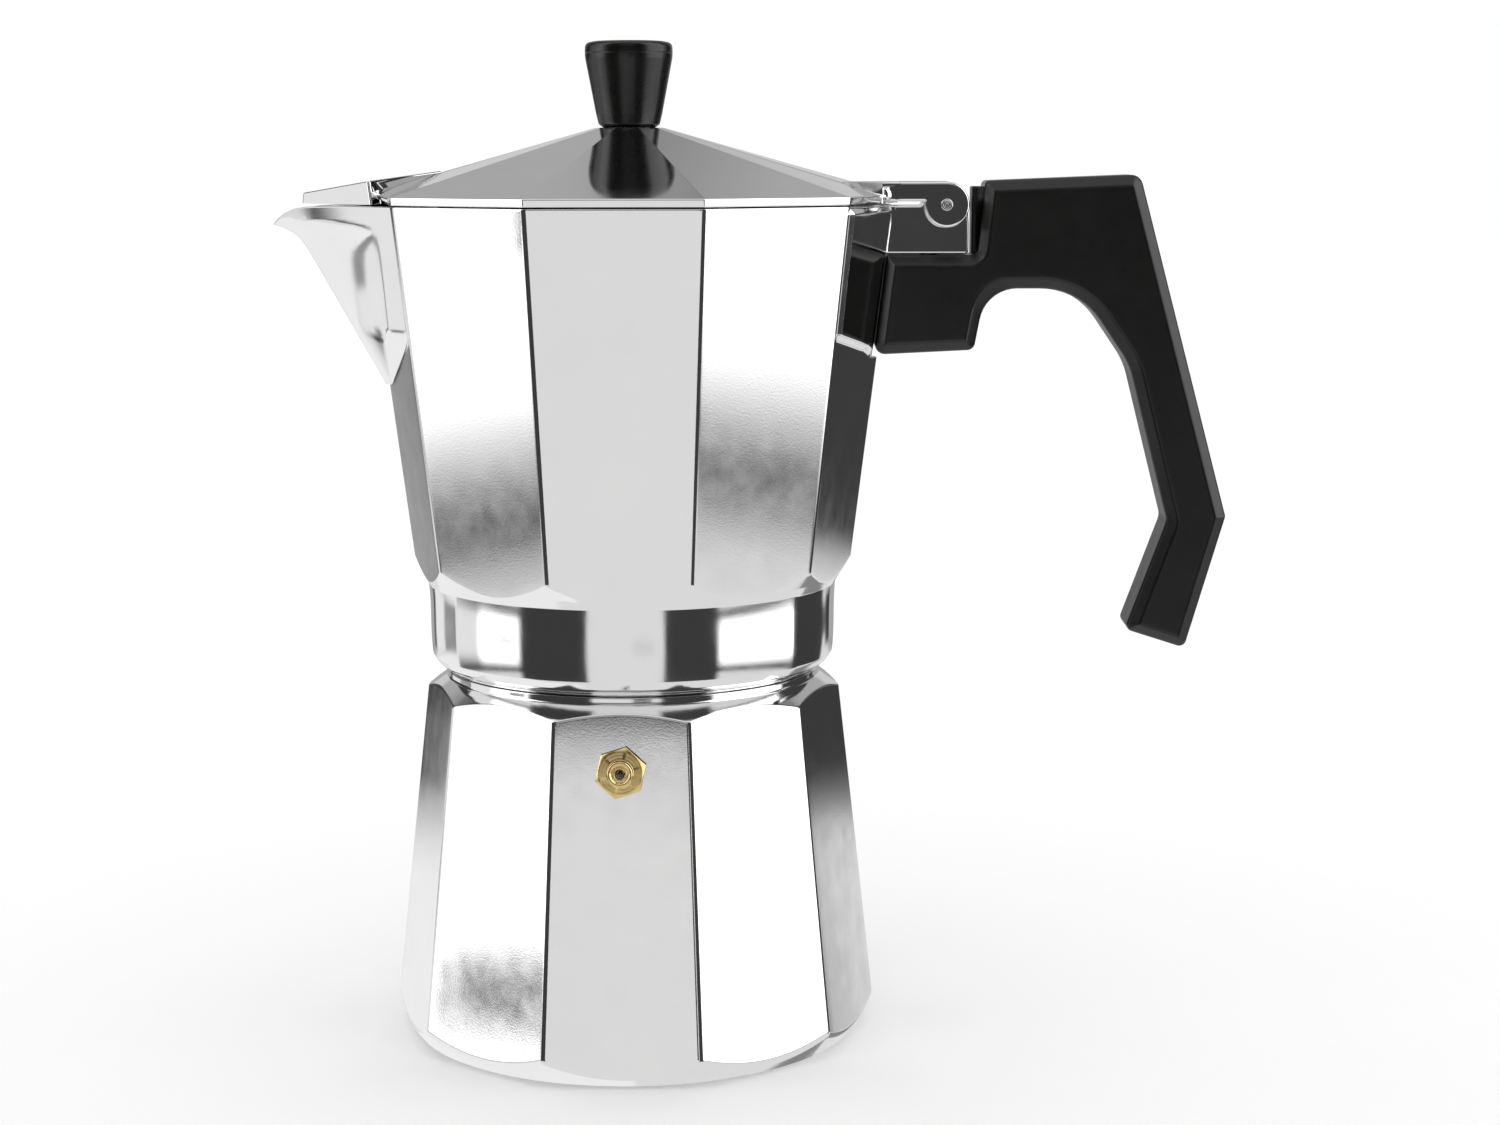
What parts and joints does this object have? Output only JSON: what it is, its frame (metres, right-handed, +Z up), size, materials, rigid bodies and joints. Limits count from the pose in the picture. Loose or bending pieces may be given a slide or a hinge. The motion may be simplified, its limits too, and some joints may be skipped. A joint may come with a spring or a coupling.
{
  "type": "moka pot",
  "caption": "Ten-sided stovetop moka pot: boiler with safety valve, drop-in funnel, screw-on upper chamber with spout and handle, and a hinged lid with a knob.",
  "frame": {"origin": "centre of the flat base, on the pot's axis", "axes": "+Z up along the pot's axis, +X towards the handle, -X towards the spout, -Y towards the safety valve"},
  "size_m": [0.2385, 0.1276, 0.25],
  "materials": {
    "cast_aluminium": "polished casting with a fine grain",
    "pressed_aluminium": "pressed sheet, satin",
    "black_plastic": "satin black thermoset",
    "brass": "turned",
    "steel": "plain zinc-plated",
    "silicone": "matt off-white"
  },
  "bodies": {
    "boiler": {"boiler": "cast_aluminium", "valve_body": "brass", "valve_washer": "silicone", "valve_seat": "brass", "valve_spring": "steel"},
    "valve": {"valve_stem": "brass"},
    "funnel": {"funnel_basket": "pressed_aluminium", "funnel_stem": "pressed_aluminium", "funnel_sieve": "pressed_aluminium"},
    "filter": {"filter_plate": "pressed_aluminium"},
    "seal": {"gasket": "silicone"},
    "top": {"collector": "cast_aluminium", "column_tube": "cast_aluminium", "column_cap": "pressed_aluminium", "handle": "black_plastic", "handle_screw": "steel", "handle_washer": "steel", "hinge_pin": "steel"},
    "lid": {"lid": "cast_aluminium", "knob": "black_plastic", "knob_insert": "brass", "knob_screw": "steel", "knob_washer": "steel"}
  },
  "joints": [
    {"name": "valve_push", "type": "slide", "parent": "boiler", "child": "valve", "axis": [0, -0.9945, 0.1046], "range_m": [0, 0.0012], "stiffness_N_per_m": 500, "springref_m": -0.0026, "deforming": ["valve_spring"]},
    {"name": "funnel_lift", "type": "slide", "parent": "boiler", "child": "funnel", "axis": [0, 0, 1], "range_m": [0, 0.1]},
    {"name": "lift_off", "type": "slide", "parent": "boiler", "child": "filter", "axis": [0, 0, 1], "range_m": [0, 0.2]},
    {"name": "thread_rise", "type": "slide", "parent": "filter", "child": "seal", "axis": [0, 0, 1], "range_m": [0, 0.006]},
    {"name": "unscrew", "type": "hinge", "parent": "seal", "child": "top", "pos_m": [0, 0, 0.1], "axis": [0, 0, 1], "range_deg": [0, 720]},
    {"name": "lid_hinge", "type": "hinge", "parent": "top", "child": "lid", "pos_m": [0.0786, 0, 0.2096], "axis": [0, 1, 0], "range_deg": [0, 105]}
  ],
  "couplings": [
    {"joint": "thread_rise", "follows": "unscrew", "m_per_rad": 0.00047746},
    {"joint": "funnel_lift", "follows": "lift_off", "ratio": 0.5}
  ]
}
